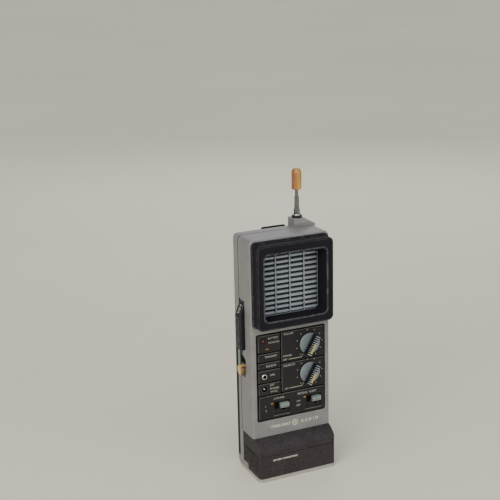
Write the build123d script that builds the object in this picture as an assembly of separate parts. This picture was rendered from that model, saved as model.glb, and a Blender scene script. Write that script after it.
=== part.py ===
from build123d import *
import math
import os

os.makedirs("parts", exist_ok=True)

# Hand-held two-way radio. Millimetres. The front faces -Y, +Z is up, the origin is the centre of the base.

# ---- case ----
CASE_W = 82.0
CASE_H = 236.0
FACE_Y = -25.5       # front of the speaker surround and of the battery block
FRONT_Y = -12.5      # front wall of the case
SEAM_Y = 13.5        # where the front shell meets the rear shell
BACK_Y = 25.5
WALL = 2.2
CORNER_R = 4.5
HALF_W = CASE_W / 2
INNER_W = HALF_W - WALL
TRAY_H = 3.7         # foot plate that runs under the battery block
TRAY_SIDE_H = 8.8
TRAY_STEP_Y = 2.0
CASE_BOTTOM_Z = 40.7  # lower end of the front shell
SEAM_BEVEL = 0.8      # each shell's share of the V groove at the seam

# ---- antenna boss and telescopic antenna ----
BOSS_X = 17.6
BOSS_TOP = 244.0
ANT_X = 24.0
ANT_Y = 19.2
ANT_OD = [6.45, 5.80, 5.15, 4.50, 3.85, 3.20]
ANT_TOP = [247.9, 252.0, 253.4, 263.6, 265.0, 271.2]
ANT_BOTTOM = 48.0
ANT_TUBE_WALL = 0.25
ANT_CAP_R = 4.7
ANT_CAP_LEN = 20.6

# ---- speaker surround and speaker ----
BEZEL_X = 39.8
BEZEL_Z0 = 151.8
BEZEL_Z1 = 234.8
WELL_FLOOR_Y = -10.6
GRILLE_COLS = 4
GRILLE_ROWS = 12
GRILLE_W = 59.0
GRILLE_H = 58.0
GRILLE_Z = 190.6
SPEAKER_R = 28.5

# ---- control panel ----
PANEL_X = 36.4
PANEL_Z0 = 57.0
PANEL_Z1 = 145.0
PANEL_FRONT = FRONT_Y - 0.4
GROOVE_DEPTH = 0.7
KNOB_X = 19.4
KNOB_Z = [128.2, 98.6]
KNOB_R = 10.5
KNOB_TOP = -14.9
GRIP_TOP_Y = -23.4
GRIP_HALF_W = 2.15
GRIP_TILT = 30.0     # the grip bar points at seven o'clock when switched off
LED_POS = (-29.0, 138.0)
LED_R = 1.9
LAMP_POS = (-25.0, 129.6)
EAR_POS = (-28.3, 102.2)
EAR_NUT_R = 2.75
DC_POS = (-28.3, 89.6)
SLIDER_POS = [(-8.1, 70.3), (26.1, 70.5)]
SLIDER_TRAVEL = 4.0

# ---- side controls ----
TALK_Z0 = 126.5
TALK_Z1 = 173.0
TALK_Y0 = 2.1
TALK_Y1 = 12.1
TALK_OUT = 46.0
CALL_Z = 105.4
CALL_Y = 7.1
CALL_W = 10.6
CALL_H = 9.4
CALL_OUT = 45.3
CHANNEL_DEPTH = 1.2  # shallow track in the side wall that both side controls sit in
CHANNEL_Z0 = 98.6

# ---- battery block ----
BLOCK_X = 40.2
DOOR_TOP = 25.5
HOUSING_Z0 = 26.1
SLOPE_Z = 30.8
ROUNDNESS = 0.4      # 0 would be a straight ramp, 1 a quarter ellipse
CELL_R = 7.1
CELL_Y = [-15.6, -1.3, 13.0]
CELL_Z = [13.3, 27.7]
CELL_LEN = 49.0

# ---- belt clip ----
CLIP_X = 5.0         # beside the antenna boss
CLIP_W = 25.0
CLIP_TOP = 235.2
CLIP_GAP = 5.8


def block(x0, x1, y0, y1, z0, z1):
    centre = ((x0 + x1) / 2, (y0 + y1) / 2, (z0 + z1) / 2)
    return Pos(*centre) * Box(abs(x1 - x0), abs(y1 - y0), abs(z1 - z0))


def rod_y(x, z, r, y0, y1):
    return Pos(x, (y0 + y1) / 2, z) * Rot(90, 0, 0) * Cylinder(r, abs(y1 - y0))


def rod_z(x, y, r, z0, z1):
    return Pos(x, y, (z0 + z1) / 2) * Cylinder(r, abs(z1 - z0))


def rod_x(y, z, r, x0, x1):
    return Pos((x0 + x1) / 2, y, z) * Rot(0, 90, 0) * Cylinder(r, abs(x1 - x0))


def rounded_panel(x0, x1, y0, y1, z0, z1, r):
    """A slab with its four corners rounded as seen from the front."""
    slab = block(x0, x1, y0, y1, z0, z1)
    return fillet(slab.edges().filter_by(Axis.Y), r)


def prism_x(points, x0, x1):
    """A (y, z) outline drawn out along X."""
    face = make_face(Polyline(*[(x0, y, z) for y, z in points], close=True))
    return extrude(face, amount=x1 - x0, dir=(1, 0, 0))


def prism_y(points, y0, y1):
    """An (x, z) outline drawn out along Y."""
    face = make_face(Polyline(*[(x, y0, z) for x, z in points], close=True))
    return extrude(face, amount=y1 - y0, dir=(0, 1, 0))


def spun_y(points, x, z):
    """A (radius, y) outline turned about a line along Y through (x, z)."""
    face = make_face(Polyline(*[(r, y, 0) for r, y in points], close=True))
    return Pos(x, 0, z) * revolve(face, Axis.Y)


def spun_z(points, x, y):
    """A (radius, z) outline turned about the vertical line through (x, y)."""
    face = make_face(Polyline(*[(r, 0, h) for r, h in points], close=True))
    return Pos(x, y, 0) * revolve(face, Axis.Z)


def save(node, shape):
    export_step(shape, f"parts/{node}.step")


def group(shapes):
    return Compound(children=list(shapes))


# ======== rear shell: back, sides, foot plate and antenna boss ========
GRIP_PLATE_Y = 22.9
PLATE_WRAP_Y = 18.8
GRIP_TOP = 151.0
GRIP_BOTTOM = 11.0
SCREWS = [(-33.5, 51.0), (33.5, 51.0), (-33.5, 226.0), (33.5, 226.0)]
HEEL = 8.5           # slope at the lower back edge

shell = block(-HALF_W, HALF_W, SEAM_Y, BACK_Y, 0, CASE_H)
shell = fillet(shell.edges().filter_by(Axis.Y).group_by(Axis.Z)[-1], CORNER_R)
shell = chamfer(shell.faces().sort_by(Axis.Y)[-1].edges().sort_by(Axis.Z)[0], HEEL)
back_rim = [e for e in shell.faces().sort_by(Axis.Y)[-1].edges() if e.center().Z > HEEL + 1]
shell = fillet(back_rim, 2.6)
seam_rim = [e for e in shell.faces().sort_by(Axis.Y)[0].edges() if e.center().Z > 1]
shell = chamfer(seam_rim, SEAM_BEVEL)

# foot plate under the battery block, with a low step at each side
tray = block(-HALF_W, HALF_W, FACE_Y, SEAM_Y + 1, 0, TRAY_H)
tray = fillet(tray.edges().filter_by(Axis.Z).group_by(Axis.Y)[0], 4.0)
front_rim = [e for e in tray.faces().sort_by(Axis.Z)[0].edges() if e.center().Y < SEAM_Y]
tray = chamfer(front_rim, 0.8)
shell += tray
for side in (-1, 1):
    shell += block(side * INNER_W, side * HALF_W, TRAY_STEP_Y, SEAM_Y + 1, TRAY_H - 1, TRAY_SIDE_H)

hollow_low = block(-INNER_W, INNER_W, SEAM_Y - 1, 20.7, TRAY_H, GRIP_TOP + 2)
hollow_low = chamfer(hollow_low.edges().filter_by(Axis.X).group_by(Axis.Z)[0].sort_by(Axis.Y)[-1], 5.5)
hollow_high = block(-INNER_W, INNER_W, SEAM_Y - 1, BACK_Y - WALL, GRIP_TOP + 2, CASE_H - WALL)
hollow_high = fillet(hollow_high.edges().filter_by(Axis.Y).group_by(Axis.Z)[-1], CORNER_R - WALL)
shell = shell - hollow_low - hollow_high

# boss that the antenna comes out of: sloped to the front and to the right
boss_side = [(SEAM_Y + 0.3, CASE_H - 1), (SEAM_Y + 0.3, CASE_H + 3.0), (14.9, BOSS_TOP),
             (BACK_Y, BOSS_TOP), (BACK_Y, CASE_H - 4)]
boss = prism_x(boss_side, BOSS_X, HALF_W - 0.05)
ramp = prism_y([(29.2, BOSS_TOP + 0.1), (50.0, BOSS_TOP + 0.1), (50.0, CASE_H - 4.0)], SEAM_Y - 1, BACK_Y + 1)
left_cut = Pos(BOSS_X, BACK_Y, CASE_H + 4) * Rot(0, 0, 6) * block(-8, 0, -30, 4, -4, 8)
shoulder = prism_y([(39.4, 240.0), (44.0, 240.0), (44.0, 231.0)], SEAM_Y - 1, BACK_Y + 1)
boss = boss - ramp - shoulder - left_cut
shell += boss - block(-INNER_W, INNER_W, SEAM_Y - 1, BACK_Y - WALL, 100, CASE_H - WALL)

shell -= rod_z(ANT_X, ANT_Y, 3.9, CASE_H - 8, BOSS_TOP + 1)
shell -= block(ANT_X - 4.0, ANT_X + 4.0, 20, GRIP_PLATE_Y, ANT_BOTTOM - 2, GRIP_TOP + 2)

# screw posts
for sx, sz in SCREWS:
    shell += rod_y(sx, sz, 4.2, SEAM_Y, BACK_Y - 1)
    shell -= rod_y(sx, sz, 1.6, SEAM_Y - 1, BACK_Y + 1)
    shell -= rod_y(sx, sz, 3.1, 22.4, BACK_Y + 1)
# step that the black grip plate drops into
shell -= block(-HALF_W - 1, HALF_W + 1, GRIP_PLATE_Y, BACK_Y + 1, GRIP_BOTTOM, GRIP_TOP)
for side in (-1, 1):
    shell -= block(side * 39.7, side * (HALF_W + 1), PLATE_WRAP_Y, GRIP_PLATE_Y, GRIP_BOTTOM, GRIP_TOP)
RIVET_Z = [222.0, 212.0]
for rz in RIVET_Z:
    shell -= rod_y(CLIP_X, rz, 1.5, SEAM_Y, BACK_Y + 1)
save("rear_shell", shell)

# black textured plate on the lower back, wrapping round both edges
plate = block(-HALF_W + 0.05, HALF_W - 0.05, GRIP_PLATE_Y, BACK_Y, GRIP_BOTTOM + 0.15, GRIP_TOP - 0.15)
for side in (-1, 1):
    plate += block(side * 39.75, side * (HALF_W - 0.05), PLATE_WRAP_Y + 0.15, GRIP_PLATE_Y,
                   GRIP_BOTTOM + 0.15, GRIP_TOP - 0.15)
plate = fillet(plate.edges().filter_by(Axis.Z).group_by(Axis.Y)[-1], 2.2)
for rib in range(22):
    rib_z = 30.0 + rib * 5.0
    plate -= block(-30, 30, BACK_Y - 0.6, BACK_Y + 1, rib_z, rib_z + 2.0)
for sx, sz in SCREWS[:2]:
    plate -= rod_y(sx, sz, 3.2, GRIP_PLATE_Y - 1, BACK_Y + 1)
save("grip_plate", plate)

# four case screws, heads sunk in the back
screws = []
for sx, sz in SCREWS:
    head = rod_y(sx, sz, 2.9, 22.55, 24.2)
    head -= block(sx - 0.45, sx + 0.45, 23.3, 25, sz - 2.2, sz + 2.2)
    head -= block(sx - 2.2, sx + 2.2, 23.3, 25, sz - 0.45, sz + 0.45)
    screws.append(head + rod_y(sx, sz, 1.45, 6.0, 22.6))
save("case_screws", group(screws))

# ======== front shell ========
front = block(-HALF_W, HALF_W, FRONT_Y, SEAM_Y, CASE_BOTTOM_Z, CASE_H)
front = fillet(front.edges().filter_by(Axis.Y).group_by(Axis.Z)[-1], CORNER_R)
face_rim = [e for e in front.faces().sort_by(Axis.Y)[0].edges() if e.center().Z > CASE_BOTTOM_Z + 1]
front = chamfer(face_rim, 1.2)
seam_rim = [e for e in front.faces().sort_by(Axis.Y)[-1].edges() if e.center().Z > CASE_BOTTOM_Z + 1]
front = chamfer(seam_rim, SEAM_BEVEL)
inside = block(-INNER_W, INNER_W, FRONT_Y + WALL, SEAM_Y + 1, CASE_BOTTOM_Z + WALL, CASE_H - WALL)
inside = fillet(inside.edges().filter_by(Axis.Y).group_by(Axis.Z)[-1], CORNER_R - WALL)
front -= inside
front -= rounded_panel(-31.4, 31.4, FRONT_Y - 1, FRONT_Y + WALL + 1, 159.8, 221.4, 2.0)
front -= rounded_panel(-PANEL_X - 0.15, PANEL_X + 0.15, FRONT_Y - 1, FRONT_Y + WALL + 1,
                       PANEL_Z0 - 0.15, PANEL_Z1 + 0.15, 2.15)
TALK_SLOT = (TALK_Y0 - 0.35, TALK_Y1 + 0.35, TALK_Z0 - 0.5, TALK_Z1 + 0.5)
front -= block(-HALF_W - 1, -HALF_W + CHANNEL_DEPTH, 1.2, SEAM_Y + 1, CHANNEL_Z0, TALK_Z1 + 2.5)
front -= block(-HALF_W - 1, -INNER_W + 1, *TALK_SLOT)
call_hole = block(-HALF_W - 1, -INNER_W + 1, CALL_Y - CALL_W / 2 - 0.35, CALL_Y + CALL_W / 2 + 0.35,
                  CALL_Z - CALL_H / 2 - 0.35, CALL_Z + CALL_H / 2 + 0.35)
front -= fillet(call_hole.edges().filter_by(Axis.X), 4.4)
for sx, sz in SCREWS:
    post = rod_y(sx, sz, 3.2, FRONT_Y + 1, SEAM_Y) - rod_y(sx, sz, 1.46, 4.0, SEAM_Y + 1)
    front += post
# tongue round the inside of the seam that locates the two shells
tongue_z0 = CASE_BOTTOM_Z + WALL
tongue = rounded_panel(-INNER_W, INNER_W, SEAM_Y - 1.6, SEAM_Y + 1.6, tongue_z0, CASE_H - WALL, 2.7)
tongue -= rounded_panel(-INNER_W + 1.0, INNER_W - 1.0, SEAM_Y - 3, SEAM_Y + 3,
                        tongue_z0 + 1.0, CASE_H - WALL - 1.0, 1.3)
tongue -= block(-HALF_W, 0, SEAM_Y - 3, SEAM_Y + 3, 96, 181)
front += tongue
save("front_shell", front)

# ======== speaker surround ========
bezel = rounded_panel(-BEZEL_X, BEZEL_X, FRONT_Y - 2.6, FRONT_Y, BEZEL_Z0, BEZEL_Z1, 5.0)
body = rounded_panel(-BEZEL_X + 0.6, BEZEL_X - 0.6, FACE_Y, FRONT_Y - 2.0,
                     BEZEL_Z0 + 0.6, BEZEL_Z1 - 1.6, 5.0)
body = chamfer(body.faces().sort_by(Axis.Y)[0].edges(), 1.1)
bezel += body
bezel += rounded_panel(-31.2, 31.2, FRONT_Y - 1, WELL_FLOOR_Y, 160.0, 221.2, 1.8)
mouth = Plane.XZ.offset(-FACE_Y + 0.01) * Pos(0, 192.3) * RectangleRounded(64.0, 63.4, 4.5)
throat = Plane.XZ.offset(-WELL_FLOOR_Y - 0.01) * Pos(0, GRILLE_Z) * RectangleRounded(60.2, 59.2, 3.4)
bezel -= loft([mouth, throat])
rim_ring = rounded_panel(-33.2, 33.2, FACE_Y - 1, FACE_Y + 0.5, 159.4, 225.2, 5.4)
bezel -= rim_ring - rounded_panel(-32.6, 32.6, FACE_Y - 2, FACE_Y + 2, 160.0, 224.6, 5.0)
save("speaker_bezel", bezel)

# ======== grille: a lattice with four columns of raised bars ========
grille = rounded_panel(-31.0, 31.0, WELL_FLOOR_Y, WELL_FLOOR_Y + 1.2, 160.2, 221.0, 1.6)
col_pitch = GRILLE_W / GRILLE_COLS
row_pitch = GRILLE_H / GRILLE_ROWS
z_base = GRILLE_Z - GRILLE_H / 2
bars = []
slots = []
for col in range(GRILLE_COLS):
    for row in range(GRILLE_ROWS):
        cx = (col - (GRILLE_COLS - 1) / 2) * col_pitch
        cz = z_base + (row + 0.5) * row_pitch
        slots.append(Pos(cx, WELL_FLOOR_Y, cz - row_pitch / 2) * Box(col_pitch - 3.4, 6, 1.5))
        bars.append(block(cx - col_pitch / 2 + 1.1, cx + col_pitch / 2 - 1.1,
                          WELL_FLOOR_Y - 1.5, WELL_FLOOR_Y, cz - 1.55, cz + 1.55))
grille -= slots
bars = [chamfer(b.faces().sort_by(Axis.Y)[0].edges(), 0.5) for b in bars]
grille += bars
save("speaker_grille", grille)

# ======== speaker ========
gasket = rounded_panel(-30.4, 30.4, WELL_FLOOR_Y + 1.2, -8.4, 160.6, 220.6, 4.0)
gasket -= rod_y(0, GRILLE_Z, 27.0, -12, -6)
save("speaker_gasket", gasket)

basket = spun_y([(SPEAKER_R, -8.4), (SPEAKER_R, -6.9), (26.6, -6.9), (16.5, 2.2), (16.5, 3.4),
                 (8.0, 3.4), (8.0, 2.4), (15.5, 2.4), (15.5, 1.9), (25.8, -7.6), (25.8, -8.4)], 0, GRILLE_Z)
for k in range(4):
    window = Pos(0, -2.0, GRILLE_Z) * Rot(0, 45 + 90 * k, 0) * Pos(21.5, 0, 0) * Box(6.4, 5.4, 14)
    basket -= window
save("speaker_frame", basket)

magnet = spun_y([(0, 3.4), (14.6, 3.4), (15.2, 4.0), (15.2, 8.4), (14.6, 9.0), (0, 9.0)], 0, GRILLE_Z)
save("speaker_magnet", magnet)

cone = spun_y([(25.4, -8.4), (25.4, -7.9), (24.4, -7.5), (22.6, -8.1), (9.6, 0.9), (6.4, -0.6), (0, -1.4),
               (0, -1.9), (6.8, -1.2), (9.4, 0.1), (22.4, -8.7), (24.4, -8.2)], 0, GRILLE_Z)
save("speaker_cone", cone)

# ======== control panel: raised tiles with grooves between them ========
panel = rounded_panel(-PANEL_X, PANEL_X, PANEL_FRONT + GROOVE_DEPTH, FRONT_Y + WALL, PANEL_Z0, PANEL_Z1, 2.0)
panel += rounded_panel(-37.6, 37.6, FRONT_Y + WALL, FRONT_Y + WALL + 1.0, PANEL_Z0 - 0.9, PANEL_Z1 + 1.0, 2.0)
LEFT_X = (-34.6, -11.4)
RIGHT_X = (-10.4, 35.2)
LEFT_ROWS = [(143.6, 126.2), (125.2, 117.0), (116.0, 109.6), (108.6, 96.2), (95.2, 83.2)]
tiles = [(LEFT_X[0], LEFT_X[1], low, high) for high, low in LEFT_ROWS]
tiles.append((RIGHT_X[0], RIGHT_X[1], 113.2, 143.6))
tiles.append((RIGHT_X[0], RIGHT_X[1], 83.2, 112.2))
tiles.append((LEFT_X[0], RIGHT_X[1], 58.6, 82.2))
for x0, x1, z0, z1 in tiles:
    tile = rounded_panel(x0, x1, PANEL_FRONT, PANEL_FRONT + GROOVE_DEPTH + 0.5, z0, z1, 0.9)
    panel += chamfer(tile.faces().sort_by(Axis.Y)[0].edges(), 0.3)
for kz in KNOB_Z:
    panel -= rod_y(KNOB_X, kz, 4.2, -20, 0)
panel -= rod_y(*LED_POS, LED_R + 0.1, -20, 0)
panel -= block(LAMP_POS[0] - 1.65, LAMP_POS[0] + 1.65, -20, 0, LAMP_POS[1] - 0.65, LAMP_POS[1] + 0.65)
panel -= rod_y(*EAR_POS, EAR_NUT_R + 0.05, -20, 0)
panel -= rod_y(DC_POS[0], DC_POS[1], 3.55, -20, 0)
WELL_DEPTH = 1.5
for sx, sz in SLIDER_POS:
    panel -= rounded_panel(sx - 11.2, sx + 6.2, PANEL_FRONT - 1, PANEL_FRONT + WELL_DEPTH,
                           sz - 9.0, sz + 5.2, 1.0)
    panel -= block(sx - 2.2, sx + 2.2, -20, 0, sz - 2.3 - SLIDER_TRAVEL, sz + 2.3)
save("control_panel", panel)

led = rod_y(*LED_POS, LED_R, PANEL_FRONT + 0.2, FRONT_Y + WALL + 3)
led = chamfer(led.faces().sort_by(Axis.Y)[0].edges(), 0.6) + rod_y(*LED_POS, 2.6, -9.2, -8.0)
save("battery_lamp", led)
lamp = block(LAMP_POS[0] - 1.55, LAMP_POS[0] + 1.55, PANEL_FRONT - 0.1, -8.0,
             LAMP_POS[1] - 0.55, LAMP_POS[1] + 0.55)
save("signal_lamp", lamp)

# ======== sockets ========
EAR_BORE = 1.8
ear = rod_y(*EAR_POS, EAR_NUT_R, PANEL_FRONT - 0.6, 0.0)
ear = chamfer(ear.faces().sort_by(Axis.Y)[0].edges().sort_by(SortBy.LENGTH)[-1], 0.4)
ear += block(EAR_POS[0] - 5, EAR_POS[0] + 5, -8.9, 2.8, EAR_POS[1] - 4.6, EAR_POS[1] + 4.6)
ear -= rod_y(*EAR_POS, EAR_BORE, -20, 1.5)
save("earphone_jack", ear)

DC_BORE = 2.8
socket = rod_y(*DC_POS, 3.5, PANEL_FRONT + 0.2, -6.0)
socket += block(DC_POS[0] - 4.6, DC_POS[0] + 4.6, -8.9, 4.5, DC_POS[1] - 4.9, DC_POS[1] + 4.4)
socket -= rod_y(*DC_POS, DC_BORE, -20, -2.0)
save("dc_socket", socket)
pin = rod_y(*DC_POS, 1.0, PANEL_FRONT + 0.6, -2.0)
pin = fillet(pin.faces().sort_by(Axis.Y)[0].edges(), 0.6)
save("dc_pin", pin)

# ======== volume and squelch controls ========
POT_NAMES = ["volume", "squelch"]
for name, kz in zip(POT_NAMES, KNOB_Z):
    pot = rod_y(KNOB_X, kz, 8.2, -8.8, -1.5)
    pot += rod_y(KNOB_X, kz, 4.0, PANEL_FRONT + 0.3, -8.0)
    pot -= rod_y(KNOB_X, kz, 3.05, -20, -4.0)
    for lug in (-5, 0, 5):
        pot += block(KNOB_X + lug - 0.8, KNOB_X + lug + 0.8, -5.0, -4.4, kz - 12.5, kz - 7.0)
    save(f"{name}_pot", pot)

    shaft = rod_y(KNOB_X, kz, 3.0, -14.0, -4.4)
    save(f"{name}_shaft", shaft)

    disc = spun_y([(0, -14.0), (0, KNOB_TOP), (KNOB_R - 0.4, KNOB_TOP), (KNOB_R - 0.1, KNOB_TOP + 0.3),
                   (KNOB_R, -13.6), (KNOB_R - 0.6, -13.3), (KNOB_R - 1.1, -14.0)], KNOB_X, kz)
    save(f"{name}_knob", disc)

    # grip bar with notched sides, and a shallow groove for the pointer line
    bar = rounded_panel(-GRIP_HALF_W, GRIP_HALF_W, GRIP_TOP_Y, KNOB_TOP, -10.3, 10.3, 0.8)
    for tooth in range(9):
        tz = -8.4 + tooth * 2.1
        for side in (-1, 1):
            bar -= block(side * (GRIP_HALF_W - 0.5), side * 5.0, GRIP_TOP_Y - 1, KNOB_TOP - 0.6,
                         tz - 0.5, tz + 0.5)
    bar -= block(0.5, 1.5, GRIP_TOP_Y - 1, GRIP_TOP_Y + 0.4, -9.4, -0.8)
    save(f"{name}_grip", Pos(KNOB_X, 0, kz) * Rot(0, GRIP_TILT, 0) * bar)

# ======== two slide switches ========
SLIDE_NAMES = ["channel", "alert"]
for name, (sx, sz) in zip(SLIDE_NAMES, SLIDER_POS):
    floor_y = PANEL_FRONT + WELL_DEPTH
    cap = prism_x([(floor_y - 0.35, sz - 2.6), (floor_y - 3.5, sz - 2.2), (floor_y - 4.1, sz),
                   (floor_y - 3.5, sz + 2.2), (floor_y - 0.35, sz + 2.6)], sx - 4.4, sx + 4.4)
    for rib in (-1.3, 0.0, 1.3):
        cap -= block(sx - 4.0, sx + 4.0, floor_y - 6, floor_y - 3.1, sz + rib - 0.25, sz + rib + 0.25)
    cap += block(sx - 1.9, sx + 1.9, floor_y - 0.5, -6.6, sz - 2.0, sz + 2.0)
    save(f"{name}_slider", cap)

    switch = block(sx - 8, sx + 8, -8.9, -1.5, sz - 8.5, sz + 4.5)
    switch -= block(sx - 2.2, sx + 2.2, -10, -6.2, sz - 2.3 - SLIDER_TRAVEL, sz + 2.3)
    for lug in range(3):
        lug_z = sz - 6.6 + lug * 4
        for side in (-3.5, 3.5):
            switch += block(sx + side - 0.6, sx + side + 0.6, -2, 1.2, lug_z - 0.3, lug_z + 0.3)
    save(f"{name}_switch", switch)

# ======== press-to-talk bar and call button in the left side ========
track_x = -HALF_W + CHANNEL_DEPTH
slope_start = TALK_Z1 - 13.0
talk = prism_y([(-INNER_W + 0.2, TALK_Z0), (-TALK_OUT + 0.8, TALK_Z0), (-TALK_OUT, TALK_Z0 + 1.0),
                (-TALK_OUT, slope_start), (track_x - 1.0, TALK_Z1), (-INNER_W + 0.2, TALK_Z1)],
               TALK_Y0, TALK_Y1)
lean = [e for e in talk.edges() if abs(e.center().X + TALK_OUT) < 0.1 and abs(e.center().Y - TALK_Y0) < 0.1]
talk = chamfer(lean, 1.4)
for rib in range(15):
    rz = TALK_Z0 + 2.4 + rib * 2.0
    talk -= block(-TALK_OUT - 1, -TALK_OUT + 0.8, TALK_Y0 + 1.8, TALK_Y1 + 1, rz, rz + 1.0)
talk += block(-INNER_W + 0.15, -INNER_W + 1.55, TALK_Y0 - 1.2, SEAM_Y - 2.2, TALK_Z0 - 2.0, TALK_Z1 + 2.0)
talk += block(-INNER_W + 1.5, -INNER_W + 3.2, 5.0, 9.0, 146, 152)
save("talk_bar", talk)

call = block(-CALL_OUT, -INNER_W + 0.3, CALL_Y - CALL_W / 2, CALL_Y + CALL_W / 2,
             CALL_Z - CALL_H / 2, CALL_Z + CALL_H / 2)
call = fillet(call.edges().filter_by(Axis.X), 4.1)
call = fillet(call.faces().sort_by(Axis.X)[0].edges(), 1.2)
call += block(-INNER_W + 0.15, -INNER_W + 1.55, 1.0, SEAM_Y - 2.2, CALL_Z - 6.2, CALL_Z + 6.2)
call += block(-INNER_W + 1.5, -INNER_W + 3.2, 5.2, 9.0, CALL_Z - 1.8, CALL_Z + 1.8)
save("call_button", call)


def leaf_switch(zc, length):
    """Moulded block on the board with two spring leaves reaching up to the plunger."""
    body = block(-31.6, -25.6, 3.0, 10.3, zc - length / 2, zc + length / 2)
    leaves = []
    for lx in (-33.4, -32.4):
        leaf = block(lx, lx + 0.3, 5.2, 9.0, zc - 3.0, zc + length / 2 + 1.2)
        foot = block(lx, -31.6, 5.2, 9.0, zc + length / 2 - 1.0, zc + length / 2 - 0.7)
        leaves.append(leaf + foot)
    return body, leaves


talk_body, talk_leaves = leaf_switch(149.0, 12.0)
call_body, call_leaves = leaf_switch(CALL_Z, 9.0)
save("talk_switch", talk_body)
save("call_switch", call_body)
save("switch_leaves", group(talk_leaves + call_leaves))

# ======== circuit board and what stands on it ========
BOARD_Y = (10.4, 12.0)
board = block(-36.6, 36.6, *BOARD_Y, 47.0, 221.0)
board -= rod_y(0, GRILLE_Z, 17.0, 8, 14)
board -= block(-37, -34.6, 9, 14, 97, 181)
for side in (-1, 1):
    board -= block(side * 28.6, side * 38, 8, 14, 46, 56)
save("circuit_board", board)

front_parts = BOARD_Y[0]
crystals = []
for k in range(4):
    can = block(-8 + k * 6.2, -3.4 + k * 6.2, front_parts - 8.0, front_parts, 122.0, 132.0)
    crystals.append(fillet(can.edges().filter_by(Axis.Y), 1.8))
save("crystals", group(crystals))

coils = []
for k, (cx, cz) in enumerate([(-14, 148), (-2, 148), (10, 148), (-14, 112), (-4, 112), (4, 100), (-8, 100)]):
    can = block(cx - 3.6, cx + 3.6, front_parts - 9.0, front_parts, cz - 3.6, cz + 3.6)
    coils.append(can - rod_y(cx, cz, 1.6, front_parts - 10, front_parts - 8.2))
save("coil_cans", group(coils))

electrolytics = []
places = [(-20, 76, 3.2), (-20, 66, 3.2), (-10, 72, 4.0), (8, 68, 3.2), (22, 150, 3.2), (-32, 76, 2.6)]
for cx, cz, r in places:
    electrolytics.append(rod_y(cx, cz, r, front_parts - 8.0, front_parts))
save("capacitors", group(electrolytics))

transformer = block(-2, 16, front_parts - 8.4, front_parts, 80.5, 90.5)
transformer += block(1.2, 12.8, front_parts - 9.4, front_parts, 78.0, 93.0)
save("audio_transformer", transformer)

heat_tab = block(28.5, 30.0, front_parts - 9.0, front_parts, 60, 74)
device = block(24.6, 28.5, front_parts - 8.0, front_parts, 62, 72)
save("power_transistor", heat_tab + device)

chip = block(-13, 13, front_parts - 4.2, front_parts - 1.0, 54.0, 60.6)
for k in range(8):
    leg_x = -10.5 + k * 3
    for side in (53.4, 60.6):
        chip += block(leg_x - 0.3, leg_x + 0.3, front_parts - 2.6, front_parts, side, side + 0.6)
save("audio_chip", chip)

# ======== telescopic antenna ========
bush = spun_z([(3.3, CASE_H - 5), (3.85, CASE_H - 5), (3.85, BOSS_TOP), (4.9, BOSS_TOP), (4.9, 246.0),
               (4.6, 246.4), (4.15, 246.4), (4.15, 245.9), (3.3, 245.9)], ANT_X, ANT_Y)
save("antenna_bush", bush)
collar = spun_z([(3.3, 245.9), (4.1, 245.9), (4.1, 247.0), (3.7, 247.5), (3.3, 247.5)], ANT_X, ANT_Y)
save("antenna_collar", collar)
contact = block(ANT_X - 4.9, ANT_X + 4.9, 14.2, 14.8, 221, 229)
for side in (-1, 1):
    contact += block(ANT_X + side * 3.4, ANT_X + side * 4.9, 14.8, 18.2, 221, 229)
save("antenna_contact", contact)

last = len(ANT_OD) - 1
for k, od in enumerate(ANT_OD):
    z0 = ANT_BOTTOM + 2.0 * k
    z1 = ANT_TOP[k]
    tube = rod_z(ANT_X, ANT_Y, od / 2, z0, z1)
    if k < last:
        tube -= rod_z(ANT_X, ANT_Y, od / 2 - ANT_TUBE_WALL, z0 - 1, z1 + 1)
    else:
        tube -= rod_z(ANT_X, ANT_Y, od / 2 - 0.5, z0 - 1, z1 + 1)
    save(f"antenna_{k + 1}", tube)

cap_z = ANT_TOP[last] + 0.2
cap = spun_z([(0, cap_z), (4.3, cap_z), (ANT_CAP_R, cap_z + 0.5), (ANT_CAP_R, cap_z + 16.0),
              (4.45, cap_z + 17.5), (3.85, cap_z + 18.8), (2.9, cap_z + 19.8), (1.5, cap_z + 20.4),
              (0, cap_z + ANT_CAP_LEN)], ANT_X, ANT_Y)
save("antenna_cap", cap + rod_z(ANT_X, ANT_Y, 1.0, cap_z - 3.2, cap_z))

# ======== battery housing, door, holder and cells ========
def forward_slope(y_start, z_start, y_end, z_end):
    """Points of the soft slope, between a straight ramp and a quarter ellipse, as (y, z)."""
    points = []
    for step in range(7):
        turn = math.radians(90 * step / 6)
        ahead = ROUNDNESS * math.sin(turn) + (1 - ROUNDNESS) * step / 6
        left = ROUNDNESS * math.cos(turn) + (1 - ROUNDNESS) * (1 - step / 6)
        points.append((y_start + (y_end - y_start) * ahead, z_end + (z_start - z_end) * left))
    return points


# the top of the housing slopes forward from the case to full depth
outer_pts = [(SEAM_Y - 0.1, HOUSING_Z0), (SEAM_Y - 0.1, CASE_BOTTOM_Z), (FRONT_Y, CASE_BOTTOM_Z)]
outer_pts += forward_slope(FRONT_Y - 2.0, CASE_BOTTOM_Z - 0.6, FACE_Y, SLOPE_Z)
outer_pts.append((FACE_Y, HOUSING_Z0))
housing = prism_x(outer_pts, -BLOCK_X, BLOCK_X)
nose = [e for e in housing.edges().filter_by(Axis.Z) if abs(e.center().Y - FACE_Y) < 0.1]
housing = chamfer(nose, 1.6)
inner_pts = [(SEAM_Y + 1, HOUSING_Z0 - 1), (SEAM_Y + 1, CASE_BOTTOM_Z - 2.1)]
inner_pts += forward_slope(FRONT_Y - 1.0, CASE_BOTTOM_Z - 2.4, FACE_Y + 2.2, SLOPE_Z - 1.6)
inner_pts.append((FACE_Y + 2.2, HOUSING_Z0 - 1))
housing -= prism_x(inner_pts, -INNER_W + 0.6, INNER_W - 0.6)
save("battery_housing", housing)

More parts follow.
